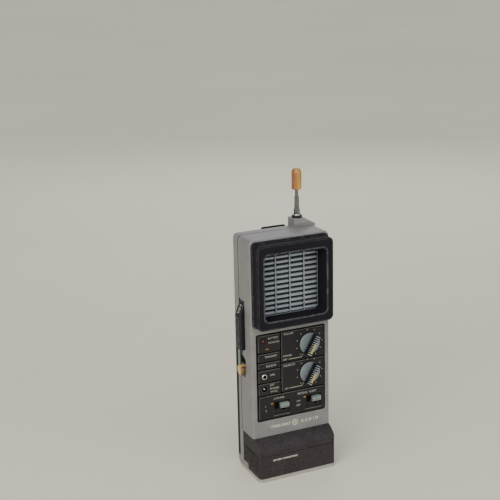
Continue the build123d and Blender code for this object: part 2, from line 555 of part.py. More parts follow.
DOOR_Z0 = TRAY_H + 0.3
door = block(-BLOCK_X, BLOCK_X, FACE_Y, 13.1, DOOR_Z0, DOOR_TOP)
door = fillet(door.edges().filter_by(Axis.Z).group_by(Axis.Y)[0], 2.6)
door -= block(-INNER_W + 0.6, INNER_W - 0.6, FACE_Y + 2.2, 14, 0, DOOR_TOP + 1)
for side in (-1, 1):
    door -= block(side * 30, side * 50, TRAY_STEP_Y - 0.3, 14, 0, TRAY_SIDE_H + 0.3)
    for rib in range(12):
        ry = -19.0 + rib * 2.6
        foot = 8.0 if ry < TRAY_STEP_Y - 2 else 10.4
        door += block(side * (BLOCK_X - 0.5), side * (HALF_W - 0.1), ry, ry + 1.3, foot, DOOR_TOP - 0.6)
save("battery_door", door)

# frame that holds six cells, two high and three deep, joined end to end in series
HOLD_X = 30.4
holder = block(-HOLD_X, HOLD_X, -22.8, 15.0, TRAY_H + 0.1, 5.9)
for side in (-1, 1):
    end = block(side * 28.6, side * HOLD_X, -22.8, 20.2, TRAY_H + 0.1, 36.6)
    end = chamfer(end.edges().filter_by(Axis.X).group_by(Axis.Z)[0].sort_by(Axis.Y)[-1], 5.6)
    end = chamfer(end.edges().filter_by(Axis.X).group_by(Axis.Z)[-1].sort_by(Axis.Y)[0], 6.5)
    holder += end
for rail_y in (-8.45, 5.85):
    holder += block(-HOLD_X, HOLD_X, rail_y - 2.2, rail_y + 2.2, 35.3, 36.6)
    holder += block(-HOLD_X, HOLD_X, rail_y - 1.6, rail_y + 1.6, 5.8, 6.6)
save("battery_holder", holder)

cells = []
contacts = []
springs = []
number = 0
for cy in CELL_Y:
    for cz in CELL_Z:
        number += 1
        way = 1 if number % 2 else -1
        cell = rod_x(cy, cz, CELL_R, -CELL_LEN / 2, CELL_LEN / 2)
        cell = fillet(cell.edges().filter_by(GeomType.CIRCLE), 0.7)
        cell += rod_x(cy, cz, 2.7, way * CELL_LEN / 2 - way * 0.5, way * (CELL_LEN / 2 + 1.3))
        cells.append(cell)
        plate_x = way * 28.6
        contact = block(plate_x - way * 0.5, plate_x, cy - 4.5, cy + 4.5, cz - 4.5, cz + 4.5)
        contact += rod_x(cy, cz, 2.2, plate_x - way * 2.7, plate_x - way * 0.4)
        contacts.append(contact)
        contacts.append(block(-plate_x + way * 0.5, -plate_x, cy - 4.5, cy + 4.5, cz - 4.5, cz + 4.5))
        coil = Helix(pitch=0.95, height=2.9, radius=3.4)
        section = Plane(origin=coil @ 0, z_dir=coil % 0) * Circle(0.25)
        spring = sweep(section, path=coil)
        springs.append(Pos(-way * 24.9, cy, cz) * Rot(0, -way * 90, 0) * spring)
save("battery_cells", group(cells))
save("cell_contacts", group(contacts))
save("cell_springs", group(springs))

# ======== belt clip ========
# a spring strap standing off the back on a foot, with a hooked lower end
clip_back = BACK_Y + CLIP_GAP
clip_sides = (CLIP_X - CLIP_W / 2, CLIP_X + CLIP_W / 2)
clip = block(*clip_sides, clip_back, clip_back + 1.6, 160.0, CLIP_TOP)
clip = fillet(clip.edges().filter_by(Axis.Y), 1.5)
clip += block(*clip_sides, BACK_Y + 0.02, clip_back + 0.5, 207.5, 227.0)
hook = [(clip_back, 160.6), (clip_back, 165.0), (BACK_Y + 2.0, 162.6), (BACK_Y + 2.0, 160.6)]
clip += prism_x(hook, CLIP_X - 9.5, CLIP_X + 9.5)
for rz in RIVET_Z:
    clip -= rod_y(CLIP_X, rz, 1.5, BACK_Y - 1, clip_back + 3)
    clip -= rod_y(CLIP_X, rz, 3.0, clip_back + 0.9, clip_back + 3)
save("belt_clip", clip)
rivets = []
for rz in RIVET_Z:
    outer_head = rod_y(CLIP_X, rz, 2.8, clip_back + 0.95, clip_back + 1.8)
    inner_head = rod_y(CLIP_X, rz, 2.8, 22.0, BACK_Y - WALL)
    rivets.append(rod_y(CLIP_X, rz, 1.45, 22.2, clip_back + 1.0) + outer_head + inner_head)
save("clip_rivets", group(rivets))
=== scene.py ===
import math

import bmesh
import bpy
from mathutils import Matrix, Vector


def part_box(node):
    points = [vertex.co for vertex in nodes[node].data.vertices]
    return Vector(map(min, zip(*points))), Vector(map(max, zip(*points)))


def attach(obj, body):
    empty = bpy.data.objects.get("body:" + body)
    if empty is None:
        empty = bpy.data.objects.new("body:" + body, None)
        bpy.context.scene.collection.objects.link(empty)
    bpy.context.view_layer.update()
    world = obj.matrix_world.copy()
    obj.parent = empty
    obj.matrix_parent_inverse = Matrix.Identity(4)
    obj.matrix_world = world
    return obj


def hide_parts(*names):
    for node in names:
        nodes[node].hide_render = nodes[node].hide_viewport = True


# Looks of a hand-held two-way radio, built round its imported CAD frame. Lengths are millimetres
# in that frame, and MM turns them into Blender's metres. Lights, cards and camera are in metres.
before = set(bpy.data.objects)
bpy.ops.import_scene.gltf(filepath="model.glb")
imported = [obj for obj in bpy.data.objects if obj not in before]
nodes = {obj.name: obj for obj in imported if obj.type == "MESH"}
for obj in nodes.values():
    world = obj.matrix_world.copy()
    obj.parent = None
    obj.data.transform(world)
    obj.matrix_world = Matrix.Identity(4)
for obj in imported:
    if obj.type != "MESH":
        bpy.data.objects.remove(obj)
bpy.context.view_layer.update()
MM = 0.001


def box_mm(node):
    """Lowest and highest corner of a CAD node, in millimetres."""
    return [[c / MM for c in corner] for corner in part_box(node)]


def middle(node):
    """x and z of the middle of a CAD node, in millimetres."""
    (x0, _, z0), (x1, _, z1) = box_mm(node)
    return ((x0 + x1) / 2, (z0 + z1) / 2)


# ---------------------------------------------------------------- procedural materials

class Surface:
    """A Principled material fed by noise in the object's own coordinates."""

    def __init__(self, name, **constants):
        self.material = bpy.data.materials.new(name)
        self.material.use_nodes = True
        self.tree = self.material.node_tree
        self.tree.nodes.clear()
        output = self.new("ShaderNodeOutputMaterial")
        self.shader = self.new("ShaderNodeBsdfPrincipled")
        self.tree.links.new(self.shader.outputs["BSDF"], output.inputs["Surface"])
        self.place = self.new("ShaderNodeTexCoord").outputs["Object"]
        for socket, value in constants.items():
            self.shader.inputs[socket.replace("_", " ")].default_value = value

    def new(self, kind, **settings):
        node = self.tree.nodes.new(kind)
        for key, value in settings.items():
            setattr(node, key, value)
        return node

    def feed(self, socket, value):
        if isinstance(value, bpy.types.NodeSocket):
            self.tree.links.new(value, socket)
        elif isinstance(value, tuple) and len(value) == 3 and socket.type == "RGBA":
            socket.default_value = (*value, 1.0)
        else:
            socket.default_value = value

    def maths(self, operation, a, b=0.0):
        node = self.new("ShaderNodeMath", operation=operation)
        self.feed(node.inputs[0], a)
        self.feed(node.inputs[1], b)
        return node.outputs[0]

    def mix(self, factor, a, b):
        node = self.new("ShaderNodeMix", data_type="RGBA")
        for index, value in ((0, factor), (6, a), (7, b)):
            self.feed(node.inputs[index], value)
        return node.outputs[2]

    def stretched(self, stretch):
        node = self.new("ShaderNodeVectorMath", operation="MULTIPLY")
        self.feed(node.inputs[0], self.place)
        self.feed(node.inputs[1], stretch)
        return node.outputs[0]

    def noise(self, size_mm, detail=3.0, stretch=None):
        """Noise from 0 to 1 whose blotches are about size_mm across."""
        node = self.new("ShaderNodeTexNoise")
        self.feed(node.inputs["Vector"], self.stretched(stretch) if stretch else self.place)
        node.inputs["Scale"].default_value = 1.0 / (size_mm * MM)
        node.inputs["Detail"].default_value = detail
        node.inputs["Roughness"].default_value = 0.55
        return node.outputs["Fac"]

    def cells(self, size_mm, feature="SMOOTH_F1"):
        """Distances within cells about size_mm across."""
        node = self.new("ShaderNodeTexVoronoi", feature=feature)
        self.feed(node.inputs["Vector"], self.place)
        node.inputs["Scale"].default_value = 1.0 / (size_mm * MM)
        return node.outputs["Distance"]

    def band(self, value, low, high, to_low=0.0, to_high=1.0):
        """value eased from to_low at low to to_high at high."""
        node = self.new("ShaderNodeMapRange", interpolation_type="SMOOTHSTEP")
        for socket, number in zip(node.inputs, (value, low, high, to_low, to_high)):
            self.feed(socket, number)
        return node.outputs["Result"]

    def axis(self, name):
        node = self.new("ShaderNodeSeparateXYZ")
        self.feed(node.inputs[0], self.place)
        return node.outputs[name]

    def edges(self, radius_mm, full=0.16):
        """1 along outside and inside corners, 0 on the flats; a smaller full takes in blunter corners."""
        bevel = self.new("ShaderNodeBevel", samples=6)
        bevel.inputs["Radius"].default_value = radius_mm * MM
        plain = self.new("ShaderNodeNewGeometry").outputs["Normal"]
        dot = self.new("ShaderNodeVectorMath", operation="DOT_PRODUCT")
        self.feed(dot.inputs[0], bevel.outputs[0])
        self.feed(dot.inputs[1], plain)
        return self.band(self.maths("SUBTRACT", 1.0, dot.outputs["Value"]), 0.02, full)

    def relief(self, *layers):
        """layers: (height from 0 to 1, depth in mm), laid over each other."""
        normal = None
        for height, depth in layers:
            node = self.new("ShaderNodeBump")
            node.inputs["Distance"].default_value = depth * MM
            node.inputs["Strength"].default_value = 1.0
            self.feed(node.inputs["Height"], height)
            if normal is not None:
                self.feed(node.inputs["Normal"], normal)
            normal = node.outputs["Normal"]
        self.feed(self.shader.inputs["Normal"], normal)

    def paint(self, colour):
        self.feed(self.shader.inputs["Base Color"], colour)

    def gloss(self, value, low, high):
        """Roughness from low to high as value rises."""
        self.feed(self.shader.inputs["Roughness"], self.band(value, 0.3, 0.7, low, high))


def shade(colour, factor):
    return tuple(min(1.0, c * factor) for c in colour)


# painted highlight on the case's foot: it fades out between these heights
FOOT_HIGHLIGHT_BAND = (2.2 * MM, 4.2 * MM)    # the scuffed foot fades out between these heights


def moulded(name, base, rough, grain_mm, grain_depth, corner_colour, corner_amount, rim_mm=0.7, rim_full=0.16,
            foot=None, **constants):
    """Moulded or painted plastic: fine grain, cloudy colour and gloss, and pale corners that are partly
    rubbed wear and partly a painted highlight along the edges.

    foot, when given, is the paler colour of a painted highlight along the rim that the part stands on."""
    s = Surface(name, **constants)
    cloud = s.noise(14.0, 4.0)
    mottle = s.noise(1.7, 3.0)
    grain = s.noise(grain_mm, 2.0)
    tint = s.mix(s.band(cloud, 0.3, 0.7), shade(base, 0.90), shade(base, 1.10))
    tint = s.mix(s.maths("MULTIPLY", s.band(mottle, 0.35, 0.65), 0.35), tint, shade(base, 0.82))
    # pale corners: rubbed wear, and also a painted highlight along the edges
    corners = s.edges(rim_mm, rim_full)
    patches = s.band(s.noise(5.0, 5.0), 0.40, 0.62, 0.35, 1.0)
    pale_corners = s.maths("MULTIPLY", corners, patches)
    tint = s.mix(s.maths("MULTIPLY", pale_corners, corner_amount), tint, corner_colour)
    # painted highlight along the lowest rim
    if foot:
        low = s.band(s.axis("Z"), *FOOT_HIGHLIGHT_BAND, 1.0, 0.0)
        tint = s.mix(s.maths("MULTIPLY", low, s.band(mottle, 0.3, 0.6, 0.6, 1.0)), tint, foot)
    s.paint(tint)
    s.gloss(s.maths("ADD", s.maths("MULTIPLY", cloud, 0.6), s.maths("MULTIPLY", grain, 0.4)),
            rough - 0.06, rough + 0.08)
    s.relief((grain, grain_depth), (s.noise(grain_mm * 9, 2.0), grain_depth * 1.5))
    return s.material


def pebbled(name, base, rough, cell_mm, depth, corner_colour, corner_amount, **constants):
    """Leather-like pebble grain pressed into black plastic."""
    s = Surface(name, **constants)
    pebble = s.cells(cell_mm)
    fine = s.noise(0.25, 2.0)
    cloud = s.noise(16.0, 4.0)
    tint = s.mix(s.band(cloud, 0.3, 0.7), shade(base, 0.86), shade(base, 1.14))
    tint = s.mix(s.band(pebble, 0.25, 0.75, 0.0, 0.7), tint, shade(base, 0.35))
    tint = s.mix(s.band(s.noise(1.5, 2.0), 0.58, 0.70, 0.0, 0.6), tint, shade(base, 2.0))
    pale_corners = s.maths("MULTIPLY", s.edges(0.8), s.band(s.noise(6.0, 5.0), 0.38, 0.62, 0.2, 1.0))
    s.paint(s.mix(s.maths("MULTIPLY", pale_corners, corner_amount), tint, corner_colour))
    s.gloss(pebble, rough - 0.08, rough + 0.12)
    s.relief((s.maths("SUBTRACT", 1.0, pebble), depth), (fine, 0.02))
    return s.material


def brushed(name, base, rough, stretch, lines_mm=0.5):
    """Metal with fine lines drawn along one way, a few stains, and bright corners."""
    s = Surface(name, Metallic=1.0)
    lines = s.noise(lines_mm, 3.0, stretch)
    stain = s.noise(8.0, 5.0)
    tint = s.mix(s.band(lines, 0.3, 0.7), shade(base, 0.84), shade(base, 1.12))
    tint = s.mix(s.band(stain, 0.52, 0.78, 0.0, 0.4), tint, shade(base, 0.55))
    tint = s.mix(s.maths("MULTIPLY", s.edges(0.35), 0.5), tint, (0.9, 0.9, 0.9))
    s.paint(tint)
    s.gloss(s.maths("ADD", s.maths("MULTIPLY", lines, 0.6), s.maths("MULTIPLY", stain, 0.4)),
            rough - 0.08, rough + 0.12)
    s.relief((lines, 0.012), (s.noise(6.0, 2.0), 0.01))
    return s.material


TURNING_PITCH = 0.5


def turned(name, base, centres, rough):
    """Face-turned satin metal: fine rings about each of the (x, z) centres."""
    s = Surface(name, Metallic=0.25)
    x, z = s.axis("X"), s.axis("Z")
    rings = None
    for cx, cz in centres:
        dx = s.maths("SUBTRACT", x, cx * MM)
        dz = s.maths("SUBTRACT", z, cz * MM)
        squares = s.maths("ADD", s.maths("MULTIPLY", dx, dx), s.maths("MULTIPLY", dz, dz))
        radius = s.maths("SQRT", squares)
        rings = radius if rings is None else s.maths("MINIMUM", rings, radius)
    wave = s.maths("SINE", s.maths("MULTIPLY", rings, 2 * math.pi / (TURNING_PITCH * MM)))
    wave = s.band(wave, -1.0, 1.0)
    cloud = s.noise(5.0, 4.0)
    speck = s.noise(0.8, 3.0)
    tint = s.mix(s.band(wave, 0.0, 1.0, 0.0, 0.5), base, shade(base, 0.78))
    tint = s.mix(s.band(cloud, 0.4, 0.75, 0.0, 0.5), tint, shade(base, 0.72))
    tint = s.mix(s.band(speck, 0.62, 0.74, 0.0, 0.5), tint, shade(base, 1.35))
    s.paint(s.mix(s.maths("MULTIPLY", s.edges(0.4), 0.6), tint, (0.80, 0.86, 0.90)))
    s.gloss(s.maths("ADD", s.maths("MULTIPLY", wave, 0.3), s.maths("MULTIPLY", cloud, 0.7)),
            rough - 0.07, rough + 0.1)
    s.relief((wave, 0.015), (speck, 0.01))
    return s.material


def chromed(name, base, rough):
    """Bright plating with finger marks and a few pits."""
    s = Surface(name, Metallic=1.0)
    smear = s.noise(4.0, 5.0, (1.0, 1.0, 0.35))
    pits = s.noise(0.5, 2.0)
    tint = s.mix(s.band(smear, 0.45, 0.75, 0.0, 0.5), base, shade(base, 0.62))
    s.paint(s.mix(s.band(pits, 0.70, 0.78, 0.0, 0.7), tint, (0.16, 0.14, 0.12)))
    s.gloss(smear, rough, rough + 0.16)
    s.relief((pits, 0.01))
    return s.material


def glossy_orange(name, base, shade_colour, axis, full_shade_end, no_shade_end):
    """Clear-coated amber plastic with a painted shade: browner from no_shade_end to full_shade_end along
    one axis.
    """
    s = Surface(name, Coat_Weight=0.6, Coat_Roughness=0.10, IOR=1.5)
    cloud = s.noise(7.0, 4.0)
    lines = s.noise(1.0, 4.0, (1.0, 1.0, 0.06))
    # painted shade: browner towards the side turned from the light
    painted_shade = s.band(s.axis(axis), full_shade_end * MM, no_shade_end * MM, 1.0, 0.0)
    painted_shade = s.maths("MULTIPLY", painted_shade, s.band(cloud, 0.3, 0.65, 0.65, 1.0))
    tint = s.mix(s.band(cloud, 0.35, 0.7, 0.0, 0.35), base, shade(base, 0.78))
    tint = s.mix(s.band(lines, 0.54, 0.66, 0.0, 0.6), tint, shade(base, 1.7))
    tint = s.mix(painted_shade, tint, shade_colour)
    # painted highlight: pale edges
    tint = s.mix(s.maths("MULTIPLY", s.edges(0.7), 0.25), tint, shade(base, 1.5))
    s.paint(tint)
    s.gloss(cloud, 0.20, 0.34)
    s.relief((lines, 0.015), (s.noise(0.4, 2.0), 0.008))
    return s.material


def lens(name, base, glow, glow_strength):
    """Tinted lamp lens with a fine texture moulded behind it."""
    s = Surface(name, Transmission_Weight=0.25, IOR=1.49, Coat_Weight=0.4, Coat_Roughness=0.08,
                Emission_Strength=glow_strength)
    texture = s.noise(0.5, 1.0)
    cloud = s.noise(2.5, 3.0)
    s.paint(s.mix(s.band(cloud, 0.3, 0.7), shade(base, 0.7), shade(base, 1.25)))
    s.feed(s.shader.inputs["Emission Color"], glow)
    s.gloss(texture, 0.12, 0.24)
    s.relief((texture, 0.03))
    return s.material


def printed(name, base, worn):
    """Screen-printed or hot-stamped ink, thin in places."""
    s = Surface(name)
    patch = s.noise(1.3, 4.0)
    fine = s.noise(0.25, 2.0)
    s.paint(s.mix(s.band(patch, 0.50, 0.78, 0.0, 0.7), base, worn))
    s.gloss(fine, 0.42, 0.62)
    s.relief((fine, 0.01))
    return s.material


def board_material():
    """Phenolic board with a green-brown resist and tinned tracks."""
    s = Surface("board")
    tracks = s.cells(5.0, "DISTANCE_TO_EDGE")
    fibre = s.noise(0.6, 3.0, (1.0, 1.0, 0.2))
    resin = s.mix(s.band(fibre, 0.3, 0.7), (0.16, 0.10, 0.035), (0.25, 0.165, 0.06))
    s.paint(s.mix(s.band(tracks, 0.05, 0.11, 0.75, 0.0), resin, (0.33, 0.36, 0.22)))
    s.gloss(fibre, 0.35, 0.55)
    s.relief((s.band(tracks, 0.05, 0.11, 1.0, 0.0), 0.05), (fibre, 0.02))
    return s.material


def fibrous(name, base, rough, size_mm, depth):
    """Foam or felted paper."""
    s = Surface(name, Sheen_Weight=0.15)
    pores = s.cells(size_mm, "F1")
    hair = s.noise(size_mm * 0.8, 5.0)
    s.paint(s.mix(s.band(hair, 0.3, 0.7), shade(base, 0.6), shade(base, 1.5)))
    s.gloss(hair, rough - 0.08, rough + 0.05)
    s.relief((pores, depth), (hair, depth * 0.5))
    return s.material


CELL_COLLAR = (16.4 * MM, 16.6 * MM)    # where the printed collar starts, from the cell's middle
CELL_END = (23.2 * MM, 23.4 * MM)       # where the bare steel end starts


def cell_jacket():
    """Battery cells: a printed jacket between bare steel ends, told apart by place along X.

    The capacitors' sleeves wear it too."""
    s = Surface("cell_jacket")
    along = s.maths("ABSOLUTE", s.axis("X"))
    bare = s.band(along, *CELL_END)
    collar = s.maths("MULTIPLY", s.band(along, *CELL_COLLAR), s.band(along, *CELL_END[::-1]))
    cloud = s.noise(6.0, 4.0)
    fine = s.noise(0.5, 2.0)
    ink = s.mix(s.band(cloud, 0.3, 0.7), (0.022, 0.026, 0.05), (0.04, 0.045, 0.075))
    ink = s.mix(collar, ink, s.mix(s.band(cloud, 0.3, 0.7), (0.52, 0.35, 0.13), (0.62, 0.44, 0.18)))
    s.paint(s.mix(bare, ink, s.mix(s.band(fine, 0.3, 0.7), (0.55, 0.55, 0.54), (0.7, 0.7, 0.68))))
    s.feed(s.shader.inputs["Metallic"], s.band(along, *CELL_END, 0.15, 1.0))
    s.gloss(cloud, 0.22, 0.36)
    s.relief((fine, 0.01))
    return s.material


KNOB_CENTRES = [middle("volume_knob"), middle("squelch_knob")]
# case: its pale corners are wear and a painted highlight along the edges
case_silver = moulded("case_silver", (0.250, 0.238, 0.241), 0.50, 0.35, 0.03, (0.47, 0.47, 0.45), 0.6,
                      foot=(0.46, 0.44, 0.38), Metallic=0.15, Specular_IOR_Level=0.4)
# bezel: its pale corners are mostly a painted highlight along the edges
bezel_black = moulded("bezel_black", (0.013, 0.012, 0.016), 0.66, 0.3, 0.015, (0.34, 0.33, 0.37), 0.8,
                      rim_mm=0.45, rim_full=0.07, Specular_IOR_Level=0.10)
# panel: its pale corners are wear and a painted highlight along the tile edges
panel_brown = moulded("panel_brown", (0.0195, 0.0175, 0.0185), 0.58, 0.4, 0.02, (0.20, 0.19, 0.18), 0.7,
                      rim_mm=0.5, Specular_IOR_Level=0.25)
block_black = pebbled("block_black", (0.040, 0.033, 0.036), 0.60, 0.9, 0.16, (0.14, 0.12, 0.12), 0.35,
                      Specular_IOR_Level=0.25)
black_plastic = moulded("black_plastic", (0.014, 0.014, 0.017), 0.48, 0.35, 0.02, (0.16, 0.15, 0.14), 0.55,
                        rim_mm=0.8, Specular_IOR_Level=0.3)
grip_black = moulded("grip_black", (0.008, 0.008, 0.011), 0.45, 0.3, 0.015, (0.06, 0.07, 0.09), 0.4,
                     Specular_IOR_Level=0.25)
# painted shade: black laid in the panel grooves, switch wells, seam and side channel
painted_shade_black = moulded("painted_shade_black", (0.004, 0.004, 0.004), 0.75, 0.3, 0.01, (0.01, 0.01, 0.01), 0.2,
                       Specular_IOR_Level=0.1)
grille_silver = moulded("grille_silver", (0.31, 0.345, 0.395), 0.42, 0.5, 0.02, (0.47, 0.52, 0.57), 0.6,
                        rim_mm=0.5, Metallic=0.3)
knob_silver = turned("knob_silver", (0.235, 0.275, 0.305), KNOB_CENTRES, 0.42)
rib_silver = moulded("rib_silver", (0.42, 0.46, 0.49), 0.40, 0.3, 0.015, (0.62, 0.66, 0.70), 0.6,
                     rim_mm=0.3, Metallic=0.3)
# painted highlight: bright blue plates standing in for the lit side of the case
track_highlight_blue = brushed("track_highlight_blue", (0.30, 0.36, 0.43), 0.42, (1.0, 1.0, 0.15))
slider_mint = moulded("slider_mint", (0.24, 0.29, 0.275), 0.42, 0.3, 0.015, (0.48, 0.52, 0.50), 0.7,
                      Metallic=0.2)
chrome = chromed("chrome", (0.62, 0.63, 0.62), 0.12)
# mast: a darker copy of chrome, painted shade for darker reflections along the mast
mast_chrome = chromed("mast_chrome", (0.20, 0.215, 0.225), 0.10)
plate_black = pebbled("plate_black", (0.014, 0.012, 0.013), 0.62, 0.9, 0.16, (0.10, 0.09, 0.09), 0.3,
                      Specular_IOR_Level=0.15)
steel = brushed("steel", (0.52, 0.52, 0.51), 0.38, (1.0, 1.0, 0.2))
tin_can = brushed("tin_can", (0.62, 0.61, 0.58), 0.40, (1.0, 0.2, 1.0), lines_mm=0.7)
brass = brushed("brass", (0.62, 0.44, 0.19), 0.32, (1.0, 0.2, 1.0))
# cap: painted shade on its left side; button: painted shade on its front
cap_amber = glossy_orange("cap_amber", (0.46, 0.25, 0.055), (0.30, 0.085, 0.03), "X", 20.4, 23.0)
button_amber = glossy_orange("button_amber", (0.64, 0.42, 0.12), (0.05, 0.013, 0.008), "Y", 3.4, 5.2)
lamp_red = lens("lamp_red", (0.16, 0.012, 0.012), (0.6, 0.02, 0.02), 0.03)
lamp_amber = lens("lamp_amber", (0.36, 0.17, 0.02), (0.9, 0.5, 0.06), 0.03)
board = board_material()
paper = fibrous("paper", (0.022, 0.020, 0.018), 0.85, 0.7, 0.05)
foam = fibrous("foam", (0.018, 0.018, 0.018), 0.92, 0.9, 0.12)
# painted shade behind the grille bars
grille_shade_black = fibrous("grille_shade_black", (0.008, 0.008, 0.009), 0.95, 0.45, 0.05)
jacket = cell_jacket()
cream_ink = printed("cream_ink", (0.42, 0.41, 0.37), (0.22, 0.21, 0.19))
# talk bar: its strong pale corners are a painted highlight on the chamfer, with some wear
talk_black = moulded("talk_black", (0.012, 0.012, 0.015), 0.48, 0.35, 0.02, (0.26, 0.24, 0.26), 0.85,
                     rim_mm=0.9, Specular_IOR_Level=0.3)
case_ink = printed("case_ink", (0.66, 0.64, 0.52), (0.48, 0.46, 0.40))
tick_ink = printed("tick_ink", (0.42, 0.39, 0.29), (0.20, 0.18, 0.14))
# painted highlight lines on the tile rims and the switch wells' lower edges
highlight_grey = printed("highlight_grey", (0.16, 0.15, 0.145), (0.04, 0.038, 0.036))
yellow_paint = printed("yellow_paint", (0.62, 0.42, 0.06), (0.46, 0.28, 0.04))
mark_paint = printed("mark_paint", (0.42, 0.24, 0.04), (0.22, 0.12, 0.02))

NODE_FINISH = {
    case_silver: ["rear_shell", "front_shell"],
    plate_black: ["grip_plate"],
    block_black: ["battery_housing", "battery_door"],
    bezel_black: ["speaker_bezel"],
    foam: ["speaker_gasket"],
    paper: ["speaker_cone"],
    panel_brown: ["control_panel"],
    lamp_red: ["battery_lamp"],
    lamp_amber: ["signal_lamp"],
    chrome: ["earphone_jack", "dc_pin", "antenna_collar"],
    mast_chrome: ["antenna_1", "antenna_2", "antenna_3", "antenna_4", "antenna_5", "antenna_6"],
    talk_black: ["talk_bar"],
    black_plastic: ["dc_socket", "channel_switch", "alert_switch", "talk_switch", "call_switch",
                    "antenna_bush", "battery_holder", "audio_chip", "belt_clip"],
    knob_silver: ["volume_knob", "squelch_knob"],
    slider_mint: ["channel_slider", "alert_slider"],
    steel: ["speaker_frame", "speaker_magnet", "case_screws", "switch_leaves", "cell_contacts",
            "cell_springs", "clip_rivets", "volume_pot", "squelch_pot", "antenna_contact",
            "power_transistor"],
    brass: ["volume_shaft", "squelch_shaft"],
    board: ["circuit_board"],
    tin_can: ["crystals", "coil_cans", "audio_transformer"],
    jacket: ["battery_cells", "capacitors"],
    cap_amber: ["antenna_cap"],
    button_amber: ["call_button"],
}


def finish_nodes():
    """Gives every carried-over CAD node its material."""
    for material, names in NODE_FINISH.items():
        for name in names:
            node = nodes[name]
            if not node.material_slots:
                node.data.materials.append(material)
            for slot in node.material_slots:
                slot.material = material


# ---------------------------------------------------------------- mesh building

def add_piece(name, bm, material, body, replaces=(), smooth_below=35.0):
    """Turns a bmesh drawn in millimetres into a piece that rides on a CAD body."""
    bmesh.ops.scale(bm, vec=(MM, MM, MM), verts=bm.verts)
    bmesh.ops.recalc_face_normals(bm, faces=bm.faces)
    mesh = bpy.data.meshes.new(name)
    bm.to_mesh(mesh)
    bm.free()
    mesh.materials.append(material)
    mesh.polygons.foreach_set("use_smooth", [True] * len(mesh.polygons))
    mesh.set_sharp_from_angle(angle=math.radians(smooth_below))
    obj = bpy.data.objects.new(name, mesh)
    bpy.context.scene.collection.objects.link(obj)
    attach(obj, body)
    if replaces:
        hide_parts(*replaces)
    return obj


def skin(bm, rings):
    """Quads between each closed ring of vertices and the next."""
    for low, high in zip(rings, rings[1:]):
        for i in range(len(low)):
            j = (i + 1) % len(low)
            bm.faces.new((low[i], low[j], high[j], high[i]))


def ring_at(bm, outline, y):
    """The (x, z) outline as vertices in the plane at y."""
    return [bm.verts.new((x, y, z)) for x, z in outline]


def plate(bm, outline, y_front, y_back, bevel=0.0):
    """A closed (x, z) outline made into a plate from y_front back to y_back, its front rim bevelled."""
    rings = [ring_at(bm, outline, y_back), ring_at(bm, outline, y_front + bevel)]
    if bevel:
        rings.append(ring_at(bm, inset(outline, bevel), y_front))
    skin(bm, rings)
    bm.faces.new(rings[0])
    bm.faces.new(rings[-1])


def frame_plate(bm, outer, hole, y_front, y_back):
    """A flat frame between two outlines with the same number of points."""
    rings = [ring_at(bm, outer, y_back), ring_at(bm, outer, y_front),
             ring_at(bm, hole, y_front), ring_at(bm, hole, y_back)]
    skin(bm, rings + rings[:1])


MITRE_FLOOR = 0.4    # keeps the mitre of a very sharp corner short


def inset(outline, amount):
    """The outline moved inwards by amount, corner by corner."""
    area = sum(a[0] * b[1] - b[0] * a[1] for a, b in zip(outline, outline[1:] + outline[:1]))
    turn = 1.0 if area > 0 else -1.0
    moved = []
    for i, point in enumerate(outline):
        before = Vector(point) - Vector(outline[i - 1])
        after = Vector(outline[(i + 1) % len(outline)]) - Vector(point)
        n1 = Vector((-before.y, before.x)).normalized() * turn
        n2 = Vector((-after.y, after.x)).normalized() * turn
        mitre = (n1 + n2).normalized()
        reach = amount / max(MITRE_FLOOR, mitre.dot(n1))
        moved.append(tuple(Vector(point) + mitre * reach))
    return moved


def rounded(x0, x1, z0, z1, radius, steps=4):
    """A rectangle with rounded corners as an (x, z) outline."""
    points = []
    corners = [(x1 - radius, z1 - radius, 0), (x0 + radius, z1 - radius, 90),
               (x0 + radius, z0 + radius, 180), (x1 - radius, z0 + radius, 270)]
    for cx, cz, start in corners:
        for step in range(steps + 1):
            angle = math.radians(start + 90.0 * step / steps)
            points.append((cx + radius * math.cos(angle), cz + radius * math.sin(angle)))
    return points


def stroke(bm, points, width, y_front, y_back):
    """A line of ink along (x, z) points: one flat plate with mitred corners."""
    left, right = [], []
    for i, point in enumerate(points):
        p = Vector(point)
        a = Vector(points[max(i - 1, 0)])
        b = Vector(points[min(i + 1, len(points) - 1)])
        along = (b - a).normalized()
        across = Vector((-along.y, along.x)) * width / 2
        left.append(tuple(p + across))
        right.append(tuple(p - across))
    plate(bm, left + right[::-1], y_front, y_back)


def lathe(bm, profile, centre, axis, segments=48):
    """A closed (radius, distance along axis) profile turned about an axis through centre."""
    along = Vector(axis).normalized()
    side = along.orthogonal().normalized()
    other = along.cross(side)
    rings = []
    for radius, height in profile:
        ring = []
        for k in range(segments):
            angle = 2 * math.pi * k / segments
            out = side * math.cos(angle) + other * math.sin(angle)
            ring.append(bm.verts.new(Vector(centre) + along * height + out * radius))
        rings.append(ring)
    skin(bm, rings + rings[:1])


def flat_letters(text, spread, bold):
    """A mesh of the text in the plain built-in typeface, flat in XY."""
    curve = bpy.data.curves.new("lettering", "FONT")
    curve.body = text
    curve.size = 1.0
    curve.offset = bold
    curve.space_character = spread
    curve.resolution_u = 3
    holder = bpy.data.objects.new("lettering", curve)
    bpy.context.scene.collection.objects.link(holder)
    bpy.context.view_layer.update()
    solved = holder.evaluated_get(bpy.context.evaluated_depsgraph_get())
    flat = bpy.data.meshes.new_from_object(solved)
    bpy.data.objects.remove(holder)
    bpy.data.curves.remove(curve)
    return flat


